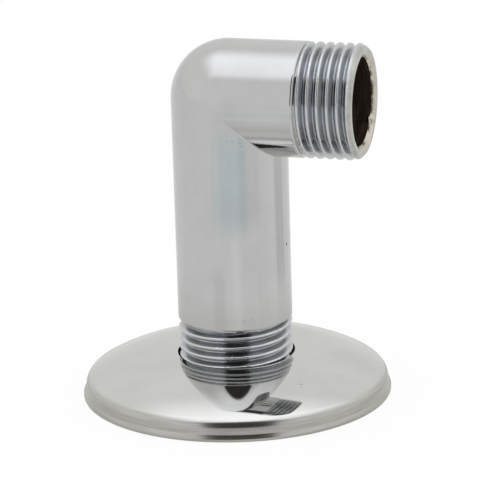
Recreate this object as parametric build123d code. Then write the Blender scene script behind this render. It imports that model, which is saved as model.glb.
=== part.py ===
from build123d import *
import math
import os

# Wall outlet elbow for a shower hose: a plated brass elbow with a male thread at each end,
# and a loose pressed wall flange that slides on its inlet leg.
# Millimetres, +Z up. The inlet leg stands on the origin, the outlet arm points along +X.

# Elbow body
thread_diameter = 20.955        # outside of a G 1/2 pipe thread
tube_margin = 0.045             # plain part of both legs, over the thread's outside diameter
bore_diameter = 16.0            # waterway
axis_height = 55.8              # arm axis above the inlet end
arm_reach = 25.2                # outlet end from the inlet axis
inlet_thread_length = 14.3      # inlet end to the tube's shoulder
outlet_thread_length = 10.5     # outlet end to the tube's shoulder
neck_depth = 0.9                # thread relief, below the thread's outside
neck_width = 0.8                # thread relief, along the leg
thread_chamfer = 0.8            # lead-in at each threaded end
bore_chamfer = 0.7              # countersink at each end of the waterway
drill_point = 118.0             # degrees across the point of the drill that bores each leg
shoulder_bevel = 0.35           # broken edge where the plain tube stops

# Wall flange
flange_diameter = 57.0          # outside of the lip that meets the wall
flange_sheet = 0.8              # pressed sheet
flange_slip = 0.7               # room all round between the hole and the leg
flange_crown_height = 7.75      # top of the dome, above the wall
flange_crown_radius = 13.0      # ring at which the dome is highest
flange_crown_round = 12.5       # outside of the round over the crown, which dips into the hole
flange_upper_slope = 9.0        # degrees
flange_bend_radius = 22.3       # ring at which the two slopes would meet
flange_bend_round = 12.0        # outside of the round between the two slopes
flange_lower_slope = 27.0       # degrees
flange_lip_height = 0.5         # upright lip at the wall
flange_rim_lean = 11.5          # degrees, the rim leans in above the lip
flange_shoulder_radius = 2.0    # outside of the round between slope and rim

thread_radius = thread_diameter / 2
tube_radius = (thread_diameter + tube_margin) / 2
bore_radius = bore_diameter / 2
flange_radius = flange_diameter / 2
hole_radius = tube_radius + flange_slip


def leg(length, thread_length):
    """Solid leg along +Z, from its threaded end at Z = 0 to the corner's centre."""
    neck_radius = thread_radius - neck_depth
    neck_start = thread_length - neck_width
    outline = Polyline(
        (0, 0),
        (thread_radius - thread_chamfer, 0),
        (thread_radius, thread_chamfer),
        (thread_radius, neck_start),
        (neck_radius, neck_start),
        (neck_radius, thread_length),
        (tube_radius - shoulder_bevel, thread_length),
        (tube_radius, thread_length + shoulder_bevel),
        (tube_radius, length),
        (0, length),
        close=True,
    )
    return revolve(Plane.XZ * make_face(outline), Axis.Z)


def waterway(length):
    """Drilled bore of one leg along +Z, from its countersunk mouth at Z = 0 into the corner."""
    point_length = bore_radius / math.tan(math.radians(drill_point / 2))
    outline = Polyline(
        (0, 0),
        (bore_radius + bore_chamfer, 0),
        (bore_radius, bore_chamfer),
        (bore_radius, length),
        (0, length + point_length),
        close=True,
    )
    return revolve(Plane.XZ * make_face(outline), Axis.Z)


# Elbow: two equal legs meet in a mitre on the inner side and in a ball on the outer side
arm_frame = Pos(arm_reach, 0, axis_height) * Rot(0, -90, 0)
elbow = leg(axis_height, inlet_thread_length)
elbow += arm_frame * leg(arm_reach, outlet_thread_length)
elbow += Pos(0, 0, axis_height) * Sphere(tube_radius)
elbow -= waterway(axis_height)
elbow -= arm_frame * waterway(arm_reach)

# Flange section: upright lip, leaning rim, rounded shoulder, two slopes with a soft bend between
# them, and a crown that dips into the hole. Its hidden inside is a few bevels.
def on_round(centre, radius, angle):
    """Point of a round in the flange's section, at an angle in degrees up from the wall."""
    turn = math.radians(angle)
    return (centre[0] + radius * math.cos(turn), centre[1] + radius * math.sin(turn))


def round_centre(corner, radius, low_angle, high_angle):
    """Centre of the round between two straight runs that would meet in this corner."""
    half_turn = (high_angle - low_angle) / 2
    return on_round(corner, -radius / math.cos(math.radians(half_turn)), low_angle + half_turn)


def dip_angle(radius):
    """Angle at which a round about the crown's centre reaches the hole."""
    return 90 + math.degrees(math.asin((flange_crown_radius - hole_radius) / radius))


upper_angle = 90 - flange_upper_slope
lower_angle = 90 - flange_lower_slope
upper_fall = math.tan(math.radians(flange_upper_slope))
lower_fall = math.tan(math.radians(flange_lower_slope))
rim_shift = math.tan(math.radians(flange_rim_lean))

crown_centre = (flange_crown_radius, flange_crown_height - flange_crown_round)
crown_end = on_round(crown_centre, flange_crown_round, upper_angle)
bend = (flange_bend_radius, crown_end[1] - (flange_bend_radius - crown_end[0]) * upper_fall)
foot_radius = flange_radius + flange_lip_height * rim_shift
shoulder_z = (bend[1] - (foot_radius - bend[0]) * lower_fall) / (1 - rim_shift * lower_fall)
shoulder = (foot_radius - shoulder_z * rim_shift, shoulder_z)
bend_centre = round_centre(bend, flange_bend_round, lower_angle, upper_angle)
shoulder_centre = round_centre(shoulder, flange_shoulder_radius, flange_rim_lean, lower_angle)

crown_inside = flange_crown_round - flange_sheet
bend_inside = flange_bend_round - flange_sheet
shoulder_inside = flange_shoulder_radius - flange_sheet
crown_dip = dip_angle(flange_crown_round)
flange_outline = Curve() + [
    Polyline(
        (flange_radius, 0),
        (flange_radius, flange_lip_height),
        on_round(shoulder_centre, flange_shoulder_radius, flange_rim_lean),
    ),
    CenterArc(shoulder_centre, flange_shoulder_radius, flange_rim_lean, lower_angle - flange_rim_lean),
    Line(
        on_round(shoulder_centre, flange_shoulder_radius, lower_angle),
        on_round(bend_centre, flange_bend_round, lower_angle),
    ),
    CenterArc(bend_centre, flange_bend_round, lower_angle, upper_angle - lower_angle),
    Line(on_round(bend_centre, flange_bend_round, upper_angle), crown_end),
    CenterArc(crown_centre, flange_crown_round, upper_angle, crown_dip - upper_angle),
    Polyline(
        on_round(crown_centre, flange_crown_round, crown_dip),
        on_round(crown_centre, crown_inside, dip_angle(crown_inside)),
        on_round(crown_centre, crown_inside, upper_angle),
        on_round(bend_centre, bend_inside, (lower_angle + upper_angle) / 2),
        on_round(shoulder_centre, shoulder_inside, lower_angle),
        (flange_radius - flange_sheet, 0),
        (flange_radius, 0),
    ),
]
flange = revolve(Plane.XZ * make_face(flange_outline), Axis.Z)

elbow.label = "elbow_body"
flange.label = "wall_flange"
os.makedirs("parts", exist_ok=True)
export_step(elbow, "parts/elbow_body.step")
export_step(flange, "parts/wall_flange.step")
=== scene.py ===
"""Wall outlet elbow and its wall flange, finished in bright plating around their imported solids."""

import math
from functools import partial

import bmesh
import bpy
import numpy as np
from bpy.props import FloatProperty, FloatVectorProperty, PointerProperty
from mathutils import Matrix, Vector


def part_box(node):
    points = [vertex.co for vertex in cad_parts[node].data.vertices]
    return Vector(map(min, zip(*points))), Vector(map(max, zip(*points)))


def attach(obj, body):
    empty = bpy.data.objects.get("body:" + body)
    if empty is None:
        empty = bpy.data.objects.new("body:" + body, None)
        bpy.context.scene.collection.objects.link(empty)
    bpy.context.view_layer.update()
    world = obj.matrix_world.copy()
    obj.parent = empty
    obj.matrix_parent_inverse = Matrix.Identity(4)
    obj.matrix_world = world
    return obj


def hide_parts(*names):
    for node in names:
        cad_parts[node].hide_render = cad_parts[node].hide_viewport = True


bl_info = {
    "name": "Wall outlet elbow",
    "version": (1, 0, 0),
    "blender": (4, 5, 0),
    "location": "View3D > Sidebar > Wall elbow",
    "description": "Builds a plated wall outlet elbow and its sliding wall flange",
    "category": "Add Mesh",
}

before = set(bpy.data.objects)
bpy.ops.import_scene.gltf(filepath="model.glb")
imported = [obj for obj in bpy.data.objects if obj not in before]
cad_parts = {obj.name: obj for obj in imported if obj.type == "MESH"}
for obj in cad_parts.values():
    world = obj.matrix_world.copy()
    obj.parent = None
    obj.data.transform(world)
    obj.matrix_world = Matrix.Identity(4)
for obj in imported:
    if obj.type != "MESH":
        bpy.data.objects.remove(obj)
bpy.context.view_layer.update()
ELBOW_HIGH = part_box("elbow_body")[1]
FLANGE_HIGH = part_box("wall_flange")[1]

MM = 0.001
IN_DEGREES = math.degrees(1.0)      # degrees in a radian
WHITE = (1.0, 1.0, 1.0, 1.0)

# Meshes
COLUMNS = 216                       # facets round both legs, a multiple of four
FLANGE_COLUMNS = 288                # facets round the flange
THREAD_ROWS = 20                    # facets across one pitch of a thread
CORNER_ROWS = 40                    # facets round the corner
SHOULDER_POINTS, DOME_POINTS = 33, 49               # along the outside of the flange's section
INNER_SHOULDER_POINTS, INNER_DOME_POINTS = 13, 21   # along its hidden inside
WELD = 2e-6                         # metres within which points are one
SHARP = math.radians(32.0)          # edges bent further than this stay sharp
EDGE = 0.08 * MM                    # rows beside a bevel, which keep the long faces straight

# Elbow body
FLANK_ANGLE = math.radians(27.5)    # half of a pipe thread's angle
THREAD_ROUND = 0.1373               # crest and root rounding, in pitches
ROW_BUNCH = 0.6                     # how far rows draw together on the crests, from 0 to 1
SPARE_TURNS = 0.1                   # rows beyond each end of a thread, in turns
RUN_OUT = 0.15                      # stretch in which a thread runs out into its neck, in pitches
LEAD_IN = (0.25, 1.1)               # start and end of the stretch in which it grows, in chamfers
BEVEL_SHARE = 0.7                   # share of the lead-in chamfer that has the end face's finish
BULGE_IN, BULGE_DOWN = 0.3, 0.55    # middle of a shoulder's bevel, from its edge on the tube, in bevels
FILLET_GROWTH = 0.6                 # share of the radius over which the mitre's fillet grows
BURR_TURN = 53.0                    # degrees round the outlet's mouth
BURR_SPREAD = 2.8                   # degrees
BURR_HEIGHT = 0.9 * MM
BURR_DEPTH = 0.6 * MM               # how far the burr reaches into the waterway
BODY, CUT, MOUTH, BORE, END = range(5)      # the elbow's material slots

# Marks and patterns of the finishes
PIT_SIZE = 0.38 * MM
PIT_TINT = (0.06, 0.055, 0.05, 1.0)
PIT_ROUGHNESS = 0.4                 # added in a pit
PIT_CORE = 0.2                      # share of a pit that has its full strength
PIT_GRAIN, PIT_WEAR = 1.6, 1.2      # how far its edge strays with fine and coarse noise, in pits
TRAIL_PITS = 5                      # pits in a slanting trail under the arm
SCUFFS = 4                          # faint rubbed spots over the inlet thread
GOLDEN_SHARE = 0.618                # its multiples scatter the trail's pits
RIM_LINES = (0.12, 0.12, 3.0)       # stretches noise into lines round the rim
SATIN_FADE = 0.82                   # share of the satin height at which the satin starts to fade
BORE_RINGS = (14.0, 1.0, 1.0)       # squeezes noise into rings round the arm's axis
ARM_MARGIN = 1.0 * MM               # what lies further out than this past the tube is the arm's end
DARK_EDGE_REACH = 0.45 * MM             # how far the dark band reaches out of the waterway over its countersink
DARK_EDGE_FADE = 0.35 * MM              # width of its soft edge

# The room, as metal mirrors it. Climb is degrees up from the front, over the top and down the back.
# Side is degrees to the right. A band is where it starts, is full, starts to fade and ends.
CEILING_CLIMB = (49.0, 66.0, 96.0, 128.0)
CEILING_SIDE = (-45.0, -14.0, 4.0, 85.0)
SHADE_START = (-6.0, 6.0)           # climb at which the shaded front begins
SHADE_TOP, SHADE_ROUND = 43.0, 18.0         # climb of its upright sides, and of its round top over them
SHADE_SIDE, SHADE_HALF = 1.0, 26.0          # side of its middle, and half of its width
SHADE_EDGE = (0.88, 1.08)           # soft edge, in shares of that shape
FRONT_WALL = (0.2, 0.7)             # how far forward the front wall's tint begins and is full
BACK_WALL = (145.0, 165.0)          # climb at which the back wall's tint begins and is full

# The floor, as metal mirrors it. Away is metres from the inlet axis, and turn is degrees to the right
# of the front.
FLOOR_START, FLOOR_END = (-2.0, -1.0), (8.0, 9.0)   # away, before and beyond all of the floor
# Painted shadow on the floor round the object, which fades out between these distances.
NEAR_SHADOW = (0.045, 0.078)         # away at which the near tint fades
FAR_FLOOR = (0.112, 0.130)          # away at which the cool light begins
COOL_END = (0.196, 0.208)           # away at which it ends
COOL_FAINT, COOL_FULL, COOL_SIDE = (-42.0, -36.0), (-26.0, -21.0), (22.0, 34.0)     # turns of its edges
COOL_SHARE = 0.4                    # strength of its faint left part
STREAK_SCALE, STREAK_LIGHT = 0.11, 0.10     # faint streaks that run out from the object
# Patches of the floor with more or less light
FLOOR_PATCHES = (
    {"away": FAR_FLOOR + FLOOR_END, "turn": (8.0, 18.0, 46.0, 62.0), "light": -0.08},
    {"away": FLOOR_START + FAR_FLOOR, "turn": (-8.0, -2.0, 8.0, 16.0), "light": 0.07},
    {"away": FLOOR_START + FLOOR_END, "turn": (62.0, 78.0, 88.0, 94.0), "light": 0.05},
    {"away": (0.060, 0.095) + FLOOR_END, "turn": (88.0, 95.0, 114.0, 121.0), "light": -0.18},
    {"away": (0.036, 0.050, 0.084, 0.100), "turn": (-44.0, -34.0, -24.0, -12.0), "light": -0.10},
)
FLOOR_HALF = 3.0                    # half of the floor's width, in metres
FLOOR_DROP = 0.1 * MM               # floor below the wall face, so that they share no plane
FLOOR_PAINT = (0.95, 0.95, 0.95, 1.0)
SEEN_GLOW, MIRRORED_GLOW = 0.93, 0.85       # share of the floor that glows, seen directly or in a mirror
FOOTPRINT_EDGE = 0.95               # share of the footprint that is dark all over
SENSOR_WIDTH = 36.0                 # camera, in millimetres


def length(name, default, description):
    """A size in metres that a user may change."""
    return FloatProperty(name=name, description=description, default=default,
                         unit="LENGTH", subtype="DISTANCE", precision=5)


def angle(name, default, description):
    """An angle that a user may change, its default in degrees."""
    return FloatProperty(name=name, description=description, default=math.radians(default),
                         subtype="ANGLE")


def share(name, default, description):
    """A share from 0 to 1 that a user may change."""
    return FloatProperty(name=name, description=description, default=default,
                         min=0.0, max=1.0, subtype="FACTOR")


def colour(name, default, description):
    """A colour that a user may change."""
    return FloatVectorProperty(name=name, description=description, default=(*default, 1.0),
                               size=4, subtype="COLOR", min=0.0, soft_max=1.0)


class ElbowSizes(bpy.types.PropertyGroup):
    """Sizes of the elbow body."""
    tube_radius: length("Tube radius", ELBOW_HIGH[1], "Outside of the plain part of both legs")
    arm_reach: length("Arm reach", ELBOW_HIGH[0], "Outlet end from the inlet leg's axis")
    axis_height: length("Axis height", ELBOW_HIGH[2] - ELBOW_HIGH[1], "Arm axis above the inlet end")
    bore_radius: length("Bore radius", 8.0 * MM, "Waterway")
    bore_chamfer: length("Bore chamfer", 0.75 * MM, "Countersink at each mouth of the waterway")
    bore_round: length("Bore round", 0.3 * MM, "Fillet in the waterway's inner corner")
    inlet_thread: length("Inlet thread", 14.3 * MM, "Inlet end to the tube's shoulder")
    outlet_thread: length("Outlet thread", 10.5 * MM, "Outlet end to the tube's shoulder")
    neck_depth: length("Neck depth", 0.9 * MM, "Thread relief below the thread's outside")
    neck_width: length("Neck width", 0.35 * MM, "Thread relief along the leg")
    shoulder_bevel: length("Shoulder bevel", 0.35 * MM, "Broken edge where the plain tube stops")
    corner_round: length("Corner round", 0.35 * MM, "Polished fillet in the inner mitre")
    thread_radius: length("Thread radius", 10.4775 * MM, "Outside of the thread's crests")
    thread_depth: length("Thread depth", 1.162 * MM, "Crest to root")
    thread_pitch: length("Thread pitch", 1.814 * MM, "Crest to crest")
    thread_chamfer: length("Thread chamfer", 0.8 * MM, "Lead-in at each threaded end")
    inlet_start: share("Inlet thread start", 0.3500, "Share of a turn at which the inlet thread starts")
    outlet_start: share("Outlet thread start", 0.5948, "Share of a turn at which the outlet thread starts")


class FlangeSizes(bpy.types.PropertyGroup):
    """Sizes of the wall flange."""
    lip_radius: length("Lip radius", FLANGE_HIGH[0], "Outside of the lip that meets the wall")
    hole_radius: length("Hole radius", 10.85 * MM, "Hole that slides on the inlet leg")
    crown_height: length("Crown height", 7.6 * MM, "Top of the dome above the wall")
    crown_radius: length("Crown radius", 13.0 * MM, "Ring at which the dome is highest")
    dome_radius: length("Dome radius", 27.9 * MM, "Outside of the dome's round, from hole to shoulder")
    shoulder_radius: length("Shoulder radius", 2.2 * MM, "Outside of the round between dome and rim")
    rim_lean: angle("Rim lean", 9.2, "How far the rim leans in towards the shoulder")
    rim_foot: length("Rim foot", 1.15 * MM, "Height at which the rim starts to flare")
    flare: length("Flare", 0.35 * MM, "How far the lip stands out from the rim's foot")
    lip_height: length("Lip height", 0.5 * MM, "Upright lip at the wall")
    satin_height: length("Satin height", 3.9 * MM, "Height up to which the plating is satin")
    sheet: length("Sheet", 0.8 * MM, "Thickness of the pressed sheet")


class FinishColours(bpy.types.PropertyGroup):
    """Colours of the plated and bare surfaces."""
    body_plating: colour("Body plating", (0.60, 0.60, 0.605), "Bright plating of the elbow")
    thread_plating: colour("Thread plating", (0.62, 0.63, 0.645), "Plating on the crests of the threads")
    # Root colour: painted shade, darker than the crests' plating.
    thread_root_painted_shade: colour("Thread root", (0.44, 0.455, 0.485), "Plating in the roots of the threads")
    end_plating: colour("End plating", (0.56, 0.55, 0.525), "Turned end faces and their lead-in bevels")
    flange_plating: colour("Flange plating", (0.66, 0.663, 0.645), "Bright plating of the flange")
    # Rim colour: a darker, warmer tint that is a painted reflection. The satin roughness and the fine
    # lines are real.
    rim_satin_painted_reflection: colour("Rim plating", (0.56, 0.552, 0.53), "Satin plating of the flange's rim")
    mouth_metal: colour("Mouth metal", (0.70, 0.645, 0.555), "Thin plating over brass in the countersinks")
    # Waterway colour: near-black painted shade inside the bore.
    bore_painted_shade: colour("Bore metal", (0.06, 0.042, 0.031), "Darkened brass in the waterway")
    # A darker mottled band at the waterway's edge.
    bore_dark_edge: colour("Bore grime", (0.10, 0.075, 0.055), "Grime at the edge of the waterway")


class StageSettings(bpy.types.PropertyGroup):
    """Camera and studio light."""
    camera_azimuth: angle("Camera azimuth", 17.200, "Camera's turn round the inlet leg")
    camera_elevation: angle("Camera elevation", 16.810, "Camera's height angle")
    camera_roll: angle("Camera roll", -1.699, "Camera's turn about its own view")
    camera_distance: length("Camera distance", 0.522143, "Camera from the point it looks at")
    camera_lens: FloatProperty(name="Camera lens", default=214.022, unit="CAMERA",
                               description="Focal length in millimetres")
    look_side: length("Look-at side", 0.0012499, "Point looked at, right of the inlet axis")
    look_height: length("Look-at height", 0.0286769, "Point looked at, above the floor")
    footprint: length("Footprint", FLANGE_HIGH[0], "Floor that the flange covers, which stays dark")
    fill_level: FloatProperty(name="Fill level", default=1.0,
                              description="Plain light that falls on matt surfaces")
    studio_turn: angle("Studio turn", 17.2, "Turn of the studio's shaded front round the inlet leg")
    wall_tint: colour("Wall tint", (0.86, 0.86, 0.84), "Pale walls of the studio, as metal mirrors them")
    back_tint: colour("Back tint", (0.80, 0.80, 0.80), "Wall behind the object")
    front_tint: colour("Front tint", (0.835, 0.835, 0.84), "Walls beside the shaded front")
    ceiling_tint: colour("Ceiling tint", (1.42, 1.43, 1.46), "Soft light overhead")
    shade_tint: colour("Shade tint", (0.05, 0.044, 0.04), "Shaded front of the studio")
    floor_tint: colour("Floor tint", (0.785, 0.787, 0.772), "Pale floor")
    # Painted shadow on the floor round the object, as metal mirrors it.
    near_shadow_tint: colour("Near tint", (0.66, 0.65, 0.62), "Floor close to the object")
    cool_tint: colour("Cool tint", (0.66, 0.73, 0.75), "Floor further in front, in a cool light")


class Wire:
    """One output in a node tree. Arithmetic on it adds Math nodes."""

    def __init__(self, tree, socket=None):
        self.tree = tree
        self.socket = socket

    def node(self, kind, settings=None, sockets=None, output=0):
        """Adds a node: first its settings, then the values or links of its sockets."""
        made = self.tree.nodes.new(kind)
        for name, value in (settings or {}).items():
            setattr(made, name, value)
        for key, value in (sockets or {}).items():
            if isinstance(value, Wire):
                self.tree.links.new(value.socket, made.inputs[key])
            else:
                made.inputs[key].default_value = value
        return Wire(self.tree, made.outputs[output] if len(made.outputs) else None)

    def out(self, name):
        """Another output of the same node."""
        return Wire(self.tree, self.socket.node.outputs[name])

    def math(self, operation, *values):
        """A Math node on these values."""
        return self.node("ShaderNodeMath", {"operation": operation}, dict(enumerate(values)))

    def vector_math(self, operation, *others, output="Value"):
        """A Vector Math node on this wire and these values."""
        return self.node("ShaderNodeVectorMath", {"operation": operation},
                         dict(enumerate((self, *others))), output)

    def step(self, low, high):
        """Rises smoothly from 0 at low to 1 at high."""
        return self.node("ShaderNodeMapRange", {"interpolation_type": "SMOOTHSTEP"},
                         {"Value": self, "From Min": low, "From Max": high})

    def between(self, low, low_end, high_start, high):
        """1 from low_end to high_start, falling smoothly to 0 at low and at high."""
        return self.step(low, low_end) * (1.0 - self.step(high_start, high))

    def noise(self, scale, detail, roughness=0.6):
        """Noise over the place that this wire gives."""
        return self.node("ShaderNodeTexNoise", None,
                         {"Vector": self, "Scale": scale, "Detail": detail, "Roughness": roughness})

    def bands(self, scale):
        """Noise along the value that this wire gives."""
        return self.node("ShaderNodeTexNoise", {"noise_dimensions": "1D"},
                         {"W": self, "Scale": scale, "Detail": 2.0, "Roughness": 0.6})

    def __add__(self, other):
        return self.math("ADD", self, other)

    __radd__ = __add__

    def __sub__(self, other):
        return self.math("SUBTRACT", self, other)

    def __rsub__(self, other):
        return self.math("SUBTRACT", other, self)

    def __mul__(self, other):
        return self.math("MULTIPLY", self, other)

    __rmul__ = __mul__

    def __truediv__(self, other):
        return self.math("DIVIDE", self, other)

    def __rtruediv__(self, other):
        return self.math("DIVIDE", other, self)


def mix_colour(factor, first, second):
    """Colour between first and second."""
    # Mix has sockets for each kind of data, so its colours are known by their number
    return factor.node("ShaderNodeMix", {"data_type": "RGBA"},
                       {0: factor, 6: first, 7: second}, output=2)


def toned(tint, level):
    """A lighter or darker tone of a colour."""
    return tuple(level * c for c in tint[:3]) + (1.0,)


def new_material(name):
    """An empty node material, and a wire that gives each point's place on its object."""
    material = bpy.data.materials.new(name)
    material.use_nodes = True
    material.node_tree.nodes.clear()
    return material, Wire(material.node_tree).node("ShaderNodeTexCoord", output="Object")


def metal_surface(base, gloss, relief, depth, strength=1.0, metallic=1.0):
    """Ends a material in metal of this colour and roughness, with relief of this depth."""
    bump = base.node("ShaderNodeBump", None, {"Strength": strength, "Distance": depth, "Height": relief})
    shader = base.node("ShaderNodeBsdfPrincipled", None,
                       {"Base Color": base, "Roughness": gloss, "Metallic": metallic, "Normal": bump})
    base.node("ShaderNodeOutputMaterial", None, {"Surface": shader})


def pit_spots(place, pits, grain, wear):
    """How much of a point is pit. Each pit has its place, its size and its strength."""
    spots = 0.0
    for point, size, strength in pits:
        away = place.vector_math("DISTANCE", point)
        ragged = away + (grain - 0.5) * (PIT_GRAIN * size) + (wear - 0.5) * (PIT_WEAR * size)
        spot = (1.0 - ragged.step(PIT_CORE * size, size)) * strength
        spots = place.math("MAXIMUM", spots, spot)
    return spots


def plating(name, tint, roughness, ripple, pits, rim=None):
    """Bright plating: a faint ripple from polishing, hazy patches and small pits.

    rim is a tint and a height, below which the plating is satin, with fine lines round the rim. The rim's
    darker, warmer tint is a painted reflection of the surface it stands on.
    """
    material, place = new_material(name)
    haze = place.noise(scale=90.0, detail=3.0)
    grain = place.noise(scale=2600.0, detail=2.0, roughness=0.5)
    wave = place.noise(scale=110.0, detail=1.0, roughness=0.4)
    wear = place.noise(scale=1300.0, detail=2.0)
    dull = toned(tint, 0.93)
    base = mix_colour(haze.step(0.35, 0.75), tint, dull)
    gloss = roughness + haze * 0.03 + grain.step(0.60, 0.72) * 0.03
    if rim is not None:
        rim_painted_reflection, rim_top = rim
        height = place.node("ShaderNodeSeparateXYZ", None, {"Vector": place}, output="Z")
        satin_and_reflection = 1.0 - height.step(SATIN_FADE * rim_top, rim_top)
        line = place.vector_math("MULTIPLY", RIM_LINES, output="Vector").noise(scale=900.0, detail=2.0)
        worn = toned(rim_painted_reflection, 0.86)
        # Painted reflection: below the satin height the rim takes its darker, warmer tint.
        base = mix_colour(satin_and_reflection, base, mix_colour(line.step(0.35, 0.65), rim_painted_reflection, worn))
        gloss = gloss + satin_and_reflection * (0.10 + line * 0.12)
    spots = pit_spots(place, pits, grain, wear)
    base = mix_colour(spots, base, PIT_TINT)
    metal_surface(base, gloss + spots * PIT_ROUGHNESS, relief=wave, depth=ripple)
    return material


def mark(away, turn, height, size, strength):
    """A pit at this distance from the inlet axis, turn in degrees from -Y towards +X, and height."""
    turn = math.radians(turn)
    return (away * math.sin(turn), -away * math.cos(turn), height), size, strength


def inlet_pits(sizes):
    """Pits in the inlet leg's plating: a trail under the arm, scuffs over the thread, two single pits."""
    pit = partial(mark, sizes.tube_radius)
    trail = []
    for k in range(TRAIL_PITS):
        stray = GOLDEN_SHARE * k % 1.0
        trail.append(pit(turn=13.8 + 3.4 * k + 2.4 * stray, height=(50.1 - 0.3 * k + 0.5 * stray) * MM,
                         size=(0.7 + 0.4 * stray) * PIT_SIZE, strength=0.10 + 0.12 * stray))
    scuffs = [pit(turn=9.0 + 8.0 * k, height=16.4 * MM, size=2.3 * PIT_SIZE, strength=0.06)
              for k in range(SCUFFS)]
    deep = pit(turn=84.2, height=28.8 * MM, size=PIT_SIZE, strength=1.0)
    shallow = pit(turn=67.0, height=30.6 * MM, size=0.6 * PIT_SIZE, strength=0.28)
    return [*trail, *scuffs, deep, shallow]


def leg_radius(place, sizes):
    """Distance from the axis of the leg that a point of a threaded end belongs to."""
    across = place.node("ShaderNodeSeparateXYZ", None, {"Vector": place})
    depth, height = across.out("Y"), across.out("Z") - sizes.axis_height
    on_arm = place.math("GREATER_THAN", across, sizes.tube_radius + ARM_MARGIN)
    inlet = place.math("SQRT", across * across + depth * depth)
    outlet = place.math("SQRT", height * height + depth * depth)
    return inlet + on_arm * (outlet - inlet)


def thread_finish(name, crest_tint, root_painted_shade, sizes):
    """Plating over a cut thread: nicked crests with painted glints, and roots that are duller and painted
    darker as shade.
    """
    material, place = new_material(name)
    crest, depth = sizes.thread_radius, sizes.thread_depth
    root_full, root_end = crest - 0.7 * depth, crest - 0.06 * depth
    root = 1.0 - leg_radius(place, sizes).step(root_full, root_end)
    nicks = place.noise(scale=1500.0, detail=3.0)
    haze = place.noise(scale=260.0, detail=3.0)
    nick_glint = nicks.step(0.60, 0.70) * (1.0 - root)
    pale = toned(crest_tint, 1.35)
    dull = toned(root_painted_shade, 0.80)
    # Painted shade: the roots take the darker root colour.
    base = mix_colour(root, crest_tint, mix_colour(haze.step(0.35, 0.7), root_painted_shade, dull))
    # Painted glints: nicked spots on the crests take a paler tone of the crest colour. Their extra
    # roughness and relief are real.
    base = mix_colour(nick_glint, base, pale)
    gloss = 0.09 + root * 0.06 + haze * 0.05 + nick_glint * 0.12
    metal_surface(base, gloss, relief=nicks, depth=9e-6)
    return material


def turned_finish(name, tint, roughness, dark_edge_tint, dark_edge_radius, sizes):
    """Turned end of a leg: fine rings round the axis, mottling, and a darker mottled band from the given
    radius inwards.
    """
    material, place = new_material(name)
    radius = leg_radius(place, sizes)
    rings = radius.bands(scale=7000.0)
    mottle = place.noise(scale=420.0, detail=4.0, roughness=0.65)
    speck = place.noise(scale=1900.0, detail=2.0, roughness=0.5)
    dull = toned(tint, 0.74)
    dark = toned(tint, 0.35)
    base = mix_colour(mottle.step(0.38, 0.68) * 0.7 + rings.step(0.4, 0.7) * 0.3, tint, dull)
    base = mix_colour(speck.step(0.66, 0.74) * 0.7, base, dark)
    # Darker mottled band at the waterway's edge, inside the given radius.
    dark_edge = (1.0 - radius.step(dark_edge_radius - DARK_EDGE_FADE, dark_edge_radius)) * mottle.step(0.42, 0.60)
    base = mix_colour(dark_edge, base, dark_edge_tint)
    gloss = roughness + mottle * 0.10 + dark_edge * 0.25
    metal_surface(base, gloss, relief=rings * 0.6 + mottle * 0.6, depth=1e-5, strength=0.7)
    return material


def bore_finish(name, tint):
    """Metal of the waterway, painted near-black as shade inside the bore, with the boring tool's rings
    round the arm's axis.
    """
    material, place = new_material(name)
    rings = place.vector_math("MULTIPLY", BORE_RINGS, output="Vector")
    streak = rings.noise(scale=130.0, detail=4.0, roughness=0.65)
    lighter = toned(tint, 3.2)
    base = mix_colour(streak.step(0.45, 0.8), tint, lighter)
    metal_surface(base, 0.3 + streak * 0.2, relief=streak, depth=4e-5, strength=0.6, metallic=0.7)
    return material


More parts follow.
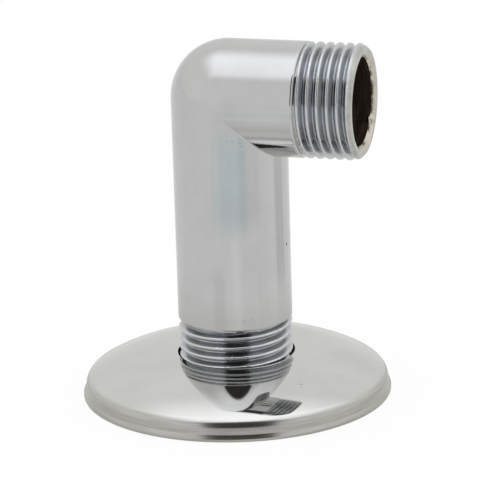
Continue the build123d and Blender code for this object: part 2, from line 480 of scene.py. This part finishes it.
def thread_tree():
    """Geometry Nodes tree of a helical pipe thread along +Z, from its free end at Z = 0."""
    tree = bpy.data.node_groups.new("Pipe thread", "GeometryNodeTree")
    tree.interface.new_socket("Thread", in_out="OUTPUT", socket_type="NodeSocketGeometry")
    numbers = ("Crest radius", "Depth", "Pitch", "Length", "Chamfer", "Neck", "Start")
    kinds = dict.fromkeys(numbers, "NodeSocketFloat")
    kinds.update({"Columns": "NodeSocketInt", "Rows": "NodeSocketInt", "Finish": "NodeSocketMaterial"})
    names = {}
    for name, kind in kinds.items():
        names[name] = tree.interface.new_socket(name, in_out="INPUT", socket_type=kind).identifier
    start = Wire(tree)
    inputs = start.node("NodeGroupInput")
    size = {name: inputs.out(name) for name in names}
    crest, depth, pitch, reach, chamfer, neck, begin = (size[name] for name in numbers)
    columns, rows = size["Columns"], size["Rows"]

    # A flat grid, of which each point is put in its place by its column and row
    turns = start.math("CEIL", reach / pitch + (1.0 + 2.0 * SPARE_TURNS))
    down = turns * rows + 1.0
    grid = start.node("GeometryNodeMeshGrid", None, {"Vertices X": columns + 1.0, "Vertices Y": down})
    index = start.node("GeometryNodeInputIndex")
    column = start.math("FLOOR", (index + 0.5) / down)
    row = index - column * down

    # Along the axis, the rows follow the helix and are held between the thread's ends
    turn = column / columns
    even = row / rows - SPARE_TURNS
    bunched = even - start.math("SINE", (even - begin) * math.tau) * (ROW_BUNCH / math.tau)
    along = start.node("ShaderNodeClamp", None,
                       {"Value": (bunched + turn - 1.0) * pitch, "Min": 0.0, "Max": reach})

    # Below the crest lie its round, the straight flank and the root's round
    wound = along / pitch + 1.0 - turn
    from_crest = start.math("ABSOLUTE", start.math("FRACT", wound - begin + 0.5) - 0.5) * pitch
    middle = pitch * 0.25
    past_middle = start.math("GREATER_THAN", from_crest, middle)
    from_round = middle - start.math("ABSOLUTE", from_crest - middle)
    round_radius = pitch * THREAD_ROUND
    round_end = round_radius * math.cos(FLANK_ANGLE)
    in_round = start.math("MINIMUM", from_round, round_end)
    in_flank = start.math("MAXIMUM", from_round - round_end, 0.0)
    drop = (round_radius - start.math("SQRT", round_radius * round_radius - in_round * in_round)
            + in_flank / math.tan(FLANK_ANGLE))
    groove = drop + past_middle * (depth - 2.0 * drop)

    # The groove fades into the neck and the lead-in, and the chamfer cuts the crests
    deepest = neck + (depth - neck) * (reach - along).step(0.0, RUN_OUT * pitch)
    grown = along.step(LEAD_IN[0] * chamfer, LEAD_IN[1] * chamfer)
    cut = crest - start.math("MINIMUM", groove, deepest) * grown
    radius = start.math("MINIMUM", cut, crest - chamfer + along)
    around = turn * math.tau
    point = start.node("ShaderNodeCombineXYZ", None, {
        "X": radius * start.math("COSINE", around), "Y": radius * start.math("SINE", around), "Z": along})
    shaped = start.node("GeometryNodeSetPosition", None, {"Geometry": grid, "Position": point})
    welded = start.node("GeometryNodeMergeByDistance", None, {"Geometry": shaped, "Distance": WELD})
    real = start.node("GeometryNodeRealizeInstances", None, {"Geometry": welded})
    finished = start.node("GeometryNodeSetMaterial", None,
                          {"Geometry": real, "Material": size["Finish"]})
    start.node("NodeGroupOutput", None, {"Thread": finished})
    return tree, names


def thread_mesh(tree, names, values):
    """Plain mesh of one thread from the tree."""
    holder = bpy.data.objects.new("thread_holder", bpy.data.meshes.new("thread_holder"))
    bpy.context.collection.objects.link(holder)
    modifier = holder.modifiers.new("Pipe thread", "NODES")
    modifier.node_group = tree
    for name, value in values.items():
        modifier[names[name]] = value
    graph = bpy.context.evaluated_depsgraph_get()
    mesh = bpy.data.meshes.new_from_object(holder.evaluated_get(graph))
    holder.modifiers.remove(modifier)
    bpy.data.objects.remove(holder)
    return mesh


def end_radii(thread, reach):
    """Radius of a thread at its inner end, for each column."""
    radii = np.zeros(COLUMNS)
    for point in (vertex.co for vertex in thread.vertices):
        if point.z > reach - WELD:
            column = round(math.atan2(point.y, point.x) * COLUMNS / math.tau) % COLUMNS
            radii[column] = math.hypot(point.x, point.y)
    return radii


def grid_mesh(rows, closed=False):
    """Mesh of rows of points, each row a closed ring; closed joins the last row to the first."""
    rows = np.asarray(rows, float)
    count, columns = rows.shape[:2]
    index = np.arange(count * columns).reshape(count, columns)
    if closed:
        index = np.vstack([index, index[:1]])
    after = np.roll(index, -1, axis=1)
    quads = np.stack([index[:-1], after[:-1], after[1:], index[1:]], -1).reshape(-1, 4)
    mesh = bpy.data.meshes.new("rings")
    mesh.from_pydata(rows.reshape(-1, 3).tolist(), [], quads.tolist())
    return mesh


def welded_piece(name, parts, materials):
    """One closed, smooth piece from meshes with their slots, which share their border points."""
    shape = bmesh.new()
    for mesh, slot in parts:
        slots = np.broadcast_to(np.asarray(slot, np.int32), len(mesh.polygons))
        mesh.polygons.foreach_set("material_index", slots)
        shape.from_mesh(mesh)
        bpy.data.meshes.remove(mesh)
    bmesh.ops.remove_doubles(shape, verts=shape.verts, dist=WELD)
    bmesh.ops.recalc_face_normals(shape, faces=shape.faces)
    if any(not edge.is_manifold for edge in shape.edges):
        raise RuntimeError(name + " is not a closed shape")
    for face in shape.faces:
        face.smooth = True
    for edge in shape.edges:
        edge.smooth = edge.calc_face_angle(0.0) < SHARP
    mesh = bpy.data.meshes.new(name)
    shape.to_mesh(mesh)
    shape.free()
    for material in materials:
        mesh.materials.append(material)
    piece = bpy.data.objects.new(name, mesh)
    bpy.context.collection.objects.link(piece)
    return piece


def column_angles(columns):
    """Angle of each column round an axis."""
    return np.arange(columns) * (math.tau / columns)


def ring(radius, height, columns):
    """Ring of points round +Z."""
    around = column_angles(columns)
    return np.stack([radius * np.cos(around), radius * np.sin(around), np.full(columns, height)], -1)


def arm_ring(radius, height, sizes):
    """Ring of the arm at this distance from its free end, in step with the inlet leg's columns."""
    around = column_angles(COLUMNS)
    return np.stack([np.full(COLUMNS, sizes.arm_reach - height), radius * np.sin(around),
                     sizes.axis_height - radius * np.cos(around)], -1)


def arm_place(sizes):
    """Places a leg that stands on the origin as the arm, its free end at the outlet."""
    outlet = Matrix.Translation((sizes.arm_reach, 0.0, sizes.axis_height))
    return outlet @ Matrix.Rotation(-math.pi / 2.0, 4, "Y")


def corner_rows(radius, fillet, height):
    """Rows of points round the corner: a ball on its outer side, a filleted mitre on its inner side."""
    around = column_angles(COLUMNS)
    side = radius * np.cos(around)
    inner = np.clip(side / (FILLET_GROWTH * radius), 0.0, 1.0)
    bend = fillet * inner * inner * (3.0 - 2.0 * inner)
    round_radius = np.where(side > 0.0, bend, -side)
    centre_x = np.where(side > 0.0, side + bend, 0.0)
    centre_z = np.where(side > 0.0, height - side - bend, height)
    rows = []
    for sweep in np.linspace(math.pi, math.pi / 2.0, CORNER_ROWS + 1):
        rows.append(np.stack([centre_x + round_radius * math.cos(sweep), radius * np.sin(around),
                              centre_z + round_radius * math.sin(sweep)], -1))
    return rows


def elbow_materials(sizes, finish):
    """Materials of the elbow, in the order of its slots."""
    dark_edge = finish.bore_dark_edge
    body = plating("body_plating", finish.body_plating, roughness=0.05, ripple=6e-6,
                   pits=inlet_pits(sizes))
    cut = thread_finish("thread_plating", finish.thread_plating, finish.thread_root_painted_shade, sizes)
    mouth = turned_finish("mouth_metal", finish.mouth_metal, roughness=0.24, dark_edge_tint=dark_edge,
                          dark_edge_radius=sizes.bore_radius + DARK_EDGE_REACH, sizes=sizes)
    bore = bore_finish("bore_painted_shade", finish.bore_painted_shade)
    end = turned_finish("end_plating", finish.end_plating, roughness=0.2, dark_edge_tint=dark_edge,
                        dark_edge_radius=sizes.bore_radius, sizes=sizes)
    return body, cut, mouth, bore, end


def elbow_threads(sizes, cut):
    """Both threads with the slots of their faces, and each one's radii where it meets its neck."""
    tree, names = thread_tree()
    shared = {
        "Crest radius": sizes.thread_radius, "Depth": sizes.thread_depth, "Pitch": sizes.thread_pitch,
        "Chamfer": sizes.thread_chamfer, "Neck": sizes.neck_depth,
        "Columns": COLUMNS, "Rows": THREAD_ROWS, "Finish": cut,
    }
    legs = ((sizes.inlet_thread, sizes.inlet_start, Matrix.Identity(4)),
            (sizes.outlet_thread, sizes.outlet_start, arm_place(sizes)))
    bevel_top = BEVEL_SHARE * sizes.thread_chamfer
    threads, ends = [], []
    for thread_length, begin, place in legs:
        reach = thread_length - sizes.neck_width
        thread = thread_mesh(tree, names, {**shared, "Length": reach, "Start": begin})
        on_bevel = np.array([face.center.z < bevel_top for face in thread.polygons])
        ends.append(end_radii(thread, reach))
        thread.transform(place)
        threads.append((thread, np.where(on_bevel, END, CUT)))
    return threads, ends


def leg_profile(sizes, thread_length, thread_end):
    """Radius and height of the rings from a thread's inner end, over its neck, to the plain tube."""
    neck = sizes.thread_radius - sizes.neck_depth
    neck_start = thread_length - sizes.neck_width
    tube, bevel = sizes.tube_radius, sizes.shoulder_bevel
    bevel_end = thread_length + bevel
    return [(thread_end, neck_start), (neck, neck_start), (neck, thread_length),
            (tube - bevel, thread_length), (tube - BULGE_IN * bevel, bevel_end - BULGE_DOWN * bevel),
            (tube, bevel_end), (tube, bevel_end + EDGE), (tube, bevel_end + 2.0 * EDGE)]


def elbow_skin(sizes, inlet_end, outlet_end):
    """Outside of the elbow from neck to neck: both plain legs and the corner."""
    # The arm's rings start on the other side from its thread's columns and run the other way
    arm_end = outlet_end[(COLUMNS // 2 - np.arange(COLUMNS)) % COLUMNS]
    inlet = leg_profile(sizes, sizes.inlet_thread, inlet_end)
    outlet = leg_profile(sizes, sizes.outlet_thread, arm_end)
    rows = [ring(radius, height, COLUMNS) for radius, height in inlet]
    rows += corner_rows(sizes.tube_radius, sizes.corner_round, sizes.axis_height)
    rows += [arm_ring(radius, height, sizes) for radius, height in reversed(outlet)]
    return grid_mesh(rows)


def elbow_waterway(sizes):
    """Waterway, and the end face and countersink round each of its mouths, with their slots."""
    bore, chamfer = sizes.bore_radius, sizes.bore_chamfer
    face_edge = sizes.thread_radius - sizes.thread_chamfer
    mouth_edge = bore + chamfer
    from_burr = (np.degrees(column_angles(COLUMNS)) - BURR_TURN) / BURR_SPREAD
    burred = bore - BURR_HEIGHT * np.exp(-from_burr ** 2)
    inlet_ring = partial(ring, columns=COLUMNS)
    outlet_ring = partial(arm_ring, sizes=sizes)

    rows = [inlet_ring(bore, chamfer)]
    rows += corner_rows(bore, sizes.bore_round, sizes.axis_height)
    rows += [outlet_ring(bore, chamfer + BURR_DEPTH), outlet_ring(burred, chamfer)]
    parts = [(grid_mesh(rows), BORE)]
    for leg_ring, bore_edge in ((inlet_ring, bore), (outlet_ring, burred)):
        parts.append((grid_mesh([leg_ring(face_edge, 0.0), leg_ring(mouth_edge, 0.0)]), END))
        parts.append((grid_mesh([leg_ring(mouth_edge, 0.0), leg_ring(bore_edge, chamfer)]), MOUTH))
    return parts


class WALLELBOW_OT_elbow(bpy.types.Operator):
    """Build the elbow body with its two threads and its waterway"""
    bl_idname = "wall_elbow.elbow"
    bl_label = "Elbow body"

    def execute(self, context):
        sizes = context.scene.wall_elbow_sizes
        materials = elbow_materials(sizes, context.scene.wall_elbow_finish)
        threads, ends = elbow_threads(sizes, materials[CUT])
        parts = [*threads, (elbow_skin(sizes, *ends), BODY), *elbow_waterway(sizes)]
        piece = welded_piece("elbow_body_plated", parts, materials)
        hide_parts("elbow_body")
        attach(piece, "elbow")
        return {"FINISHED"}


def on_round(centre, radius, angles):
    """Points of a round in the flange's section, at these angles up from the wall."""
    return [(centre[0] + radius * math.cos(a), centre[1] + radius * math.sin(a)) for a in angles]


def dome_centre(sizes):
    """Centre of the dome's round in the flange's section."""
    return sizes.crown_radius, sizes.crown_height - sizes.dome_radius


def flange_specks(sizes):
    """Two specks in the plating of the flange's dome."""
    centre = dome_centre(sizes)

    def speck(away, turn, size, strength):
        height = centre[1] + math.sqrt(sizes.dome_radius ** 2 - (away - centre[0]) ** 2)
        return mark(away, turn, height, size, strength)

    return [speck(away=20.8 * MM, turn=50.7, size=0.7 * PIT_SIZE, strength=0.7),
            speck(away=21.6 * MM, turn=49.3, size=0.5 * PIT_SIZE, strength=0.4)]


def flange_section(sizes):
    """Closed section of the pressed sheet: up the rim, over the dome to the hole, and back inside."""
    lip, sheet, lean = sizes.lip_radius, sizes.sheet, sizes.rim_lean
    foot = (lip - sizes.flare, sizes.rim_foot)
    dome = dome_centre(sizes)
    rim_away = (foot[0] - dome[0]) * math.cos(lean) + (foot[1] - dome[1]) * math.sin(lean)
    inset = sizes.dome_radius - sizes.shoulder_radius
    join = lean + math.acos((rim_away - sizes.shoulder_radius) / inset)
    shoulder = on_round(dome, inset, [join])[0]
    inner_dome = sizes.dome_radius - sheet
    inner_shoulder = sizes.shoulder_radius - sheet

    def dip(radius):
        """Angle at which a round about the dome's centre reaches the hole."""
        return math.pi / 2.0 + math.asin((sizes.crown_radius - sizes.hole_radius) / radius)

    outer = [(lip, height) for height in (0.0, EDGE, sizes.lip_height - EDGE, sizes.lip_height)]
    outer += [(foot[0] - k * EDGE * math.tan(lean), foot[1] + k * EDGE) for k in range(3)]
    outer += on_round(shoulder, sizes.shoulder_radius, np.linspace(lean, join, SHOULDER_POINTS))
    outer += on_round(dome, sizes.dome_radius,
                      np.linspace(join, dip(sizes.dome_radius), DOME_POINTS))[1:]
    inner = on_round(dome, inner_dome, np.linspace(dip(inner_dome), join, INNER_DOME_POINTS))
    inner += on_round(shoulder, inner_shoulder, np.linspace(join, lean, INNER_SHOULDER_POINTS))[1:]
    inner += [(foot[0] - sheet, foot[1]), (lip - sheet, 0.0)]
    return outer + inner


class WALLELBOW_OT_flange(bpy.types.Operator):
    """Build the pressed wall flange"""
    bl_idname = "wall_elbow.flange"
    bl_label = "Wall flange"

    def execute(self, context):
        sizes = context.scene.wall_flange_sizes
        finish = context.scene.wall_elbow_finish
        plated = plating("flange_plating", finish.flange_plating, roughness=0.035, ripple=5e-6,
                         pits=flange_specks(sizes), rim=(finish.rim_satin_painted_reflection, sizes.satin_height))
        rows = [ring(radius, height, FLANGE_COLUMNS) for radius, height in flange_section(sizes)]
        piece = welded_piece("wall_flange_plated", [(grid_mesh(rows, closed=True), 0)], (plated,))
        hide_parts("wall_flange")
        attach(piece, "flange")
        return {"FINISHED"}


def ray_kinds(start):
    """1 for what the camera sees directly, and 1 for what it sees in a mirror or through glass."""
    path = start.node("ShaderNodeLightPath")
    mirrored = start.math("MAXIMUM", path.out("Is Glossy Ray"), path.out("Is Transmission Ray"))
    return path.out("Is Camera Ray"), mirrored


def studio_axes(place, settings):
    """How far a place or direction lies towards the studio's front, to the right, and up."""
    turn = settings.studio_turn
    front = (math.sin(turn), -math.cos(turn), 0.0)
    right = (math.cos(turn), math.sin(turn), 0.0)
    up = (0.0, 0.0, 1.0)
    return [place.vector_math("DOT_PRODUCT", axis) for axis in (front, right, up)]


def studio_colour(start, settings):
    """The room by direction: pale walls, a soft light overhead and a shaded front."""
    direction = start.node("ShaderNodeTexCoord", output="Generated")
    front, right, up = studio_axes(direction, settings)
    side = start.math("ARCSINE", right) * IN_DEGREES
    climb = start.math("ARCTAN2", up, front) * IN_DEGREES
    ceiling = climb.between(*CEILING_CLIMB) * side.between(*CEILING_SIDE)
    over = start.math("MAXIMUM", climb - SHADE_TOP, 0.0) / SHADE_ROUND
    across = (side - SHADE_SIDE) / SHADE_HALF
    from_middle = start.math("SQRT", over * over + across * across)
    shade = climb.step(*SHADE_START) * (1.0 - from_middle.step(*SHADE_EDGE))
    wall = mix_colour(front.step(*FRONT_WALL), settings.wall_tint, settings.front_tint)
    wall = mix_colour(climb.step(*BACK_WALL), wall, settings.back_tint)
    room = mix_colour(ceiling, wall, settings.ceiling_tint)
    return mix_colour(shade, room, settings.shade_tint)


def floor_colour(place, away, settings):
    """The floor as metal mirrors it: dimmer round the object with a painted shadow, and cool further in
    front.
    """
    front, right = studio_axes(place, settings)[:2]
    turn = place.math("ARCTAN2", right, front) * IN_DEGREES
    cool = (turn.step(*COOL_FAINT) * COOL_SHARE + turn.step(*COOL_FULL) * (1.0 - COOL_SHARE)
            - turn.step(*COOL_SIDE))
    tint = mix_colour(away.between(*FAR_FLOOR, *COOL_END) * cool,
                      settings.floor_tint, settings.cool_tint)
    tint = mix_colour(1.0 - away.step(*NEAR_SHADOW), tint, settings.near_shadow_tint)
    level = 1.0 + (turn.bands(STREAK_SCALE) - 0.5) * STREAK_LIGHT
    for patch in FLOOR_PATCHES:
        level = level + away.between(*patch["away"]) * turn.between(*patch["turn"]) * patch["light"]
    return place.node("ShaderNodeVectorMath", {"operation": "SCALE"}, {0: tint, "Scale": level})


def make_floor(context, settings):
    """Pale floor that glows where it is seen or mirrored, and is dark under the flange."""
    material, place = new_material("pale_floor")
    seen, mirrored = ray_kinds(place)
    away = place.vector_math("LENGTH")
    shown = mix_colour(seen, floor_colour(place, away, settings), WHITE)
    soft = place.node("ShaderNodeBsdfDiffuse", None, {"Color": FLOOR_PAINT})
    pale = place.node("ShaderNodeEmission", None, {"Color": shown, "Strength": 1.0})
    clear = away.step(FOOTPRINT_EDGE * settings.footprint, settings.footprint)
    glow = (seen * SEEN_GLOW + mirrored * MIRRORED_GLOW) * clear
    surface = place.node("ShaderNodeMixShader", None, {0: glow, 1: soft, 2: pale})
    place.node("ShaderNodeOutputMaterial", None, {"Surface": surface})

    mesh = bpy.data.meshes.new("pale_floor")
    corners = [(x * FLOOR_HALF, y * FLOOR_HALF, 0.0) for x, y in ((-1, -1), (1, -1), (1, 1), (-1, 1))]
    mesh.from_pydata(corners, [], [(0, 1, 2, 3)])
    mesh.materials.append(material)
    floor = bpy.data.objects.new("pale_floor", mesh)
    floor.location.z = -FLOOR_DROP
    context.collection.objects.link(floor)


def make_world(context, settings):
    """Plain light on what is matt, and the studio in what is bright."""
    world = bpy.data.worlds.new("pale_studio")
    world.use_nodes = True
    world.node_tree.nodes.clear()
    context.scene.world = world
    start = Wire(world.node_tree)
    seen, mirrored = ray_kinds(start)
    plain = mix_colour(seen, toned(WHITE, settings.fill_level), WHITE)
    light = mix_colour(mirrored, plain, studio_colour(start, settings))
    sky = start.node("ShaderNodeBackground", None, {"Color": light, "Strength": 1.0})
    start.node("ShaderNodeOutputWorld", None, {"Surface": sky})


def aim(settings):
    """Camera's right, up and backward directions."""
    az, el, roll = settings.camera_azimuth, settings.camera_elevation, settings.camera_roll
    back = Vector((math.sin(az) * math.cos(el), -math.cos(az) * math.cos(el), math.sin(el)))
    level = Vector((math.cos(az), math.sin(az), 0.0))
    up = back.cross(level)
    right = level * math.cos(roll) + up * math.sin(roll)
    return right, back.cross(right), back


def make_camera(context, settings):
    """Camera that stands where the photograph was taken."""
    camera = bpy.data.objects.new("photo_camera", bpy.data.cameras.new("photo_camera"))
    camera.data.sensor_fit = "HORIZONTAL"
    camera.data.sensor_width = SENSOR_WIDTH
    camera.data.lens = settings.camera_lens
    right, up, back = aim(settings)
    place = Matrix((right, up, back)).transposed().to_4x4()
    place.translation = (right * settings.look_side + Vector((0.0, 0.0, settings.look_height))
                         + back * settings.camera_distance)
    camera.matrix_world = place
    context.collection.objects.link(camera)
    context.scene.camera = camera


class WALLELBOW_OT_stage(bpy.types.Operator):
    """Set up the pale floor, the studio light and the camera"""
    bl_idname = "wall_elbow.stage"
    bl_label = "Stage"

    def execute(self, context):
        settings = context.scene.wall_elbow_stage
        make_floor(context, settings)
        make_world(context, settings)
        make_camera(context, settings)
        context.scene.view_settings.view_transform = "Standard"
        return {"FINISHED"}


class WALLELBOW_PT_panel(bpy.types.Panel):
    """Lists the pieces and their sizes"""
    bl_idname = "WALLELBOW_PT_panel"
    bl_label = "Wall outlet elbow"
    bl_space_type = "VIEW_3D"
    bl_region_type = "UI"
    bl_category = "Wall elbow"

    def draw(self, context):
        for operator in OPERATORS:
            self.layout.operator(operator.bl_idname)
        for owner in GROUPS:
            box = self.layout.box()
            settings = getattr(context.scene, owner)
            for name in settings.bl_rna.properties.keys():
                if name not in ("rna_type", "name"):
                    box.prop(settings, name)


OPERATORS = (WALLELBOW_OT_elbow, WALLELBOW_OT_flange, WALLELBOW_OT_stage)
GROUPS = {"wall_elbow_sizes": ElbowSizes, "wall_flange_sizes": FlangeSizes,
          "wall_elbow_finish": FinishColours, "wall_elbow_stage": StageSettings}


def register():
    for owner, group in GROUPS.items():
        bpy.utils.register_class(group)
        setattr(bpy.types.Scene, owner, PointerProperty(type=group))
    for operator in OPERATORS:
        bpy.utils.register_class(operator)
    bpy.utils.register_class(WALLELBOW_PT_panel)


def unregister():
    bpy.utils.unregister_class(WALLELBOW_PT_panel)
    for operator in reversed(OPERATORS):
        bpy.utils.unregister_class(operator)
    for owner, group in reversed(GROUPS.items()):
        delattr(bpy.types.Scene, owner)
        bpy.utils.unregister_class(group)


def main():
    register()
    bpy.ops.wall_elbow.elbow()
    bpy.ops.wall_elbow.flange()
    bpy.ops.wall_elbow.stage()


if __name__ == "__main__":
    main()
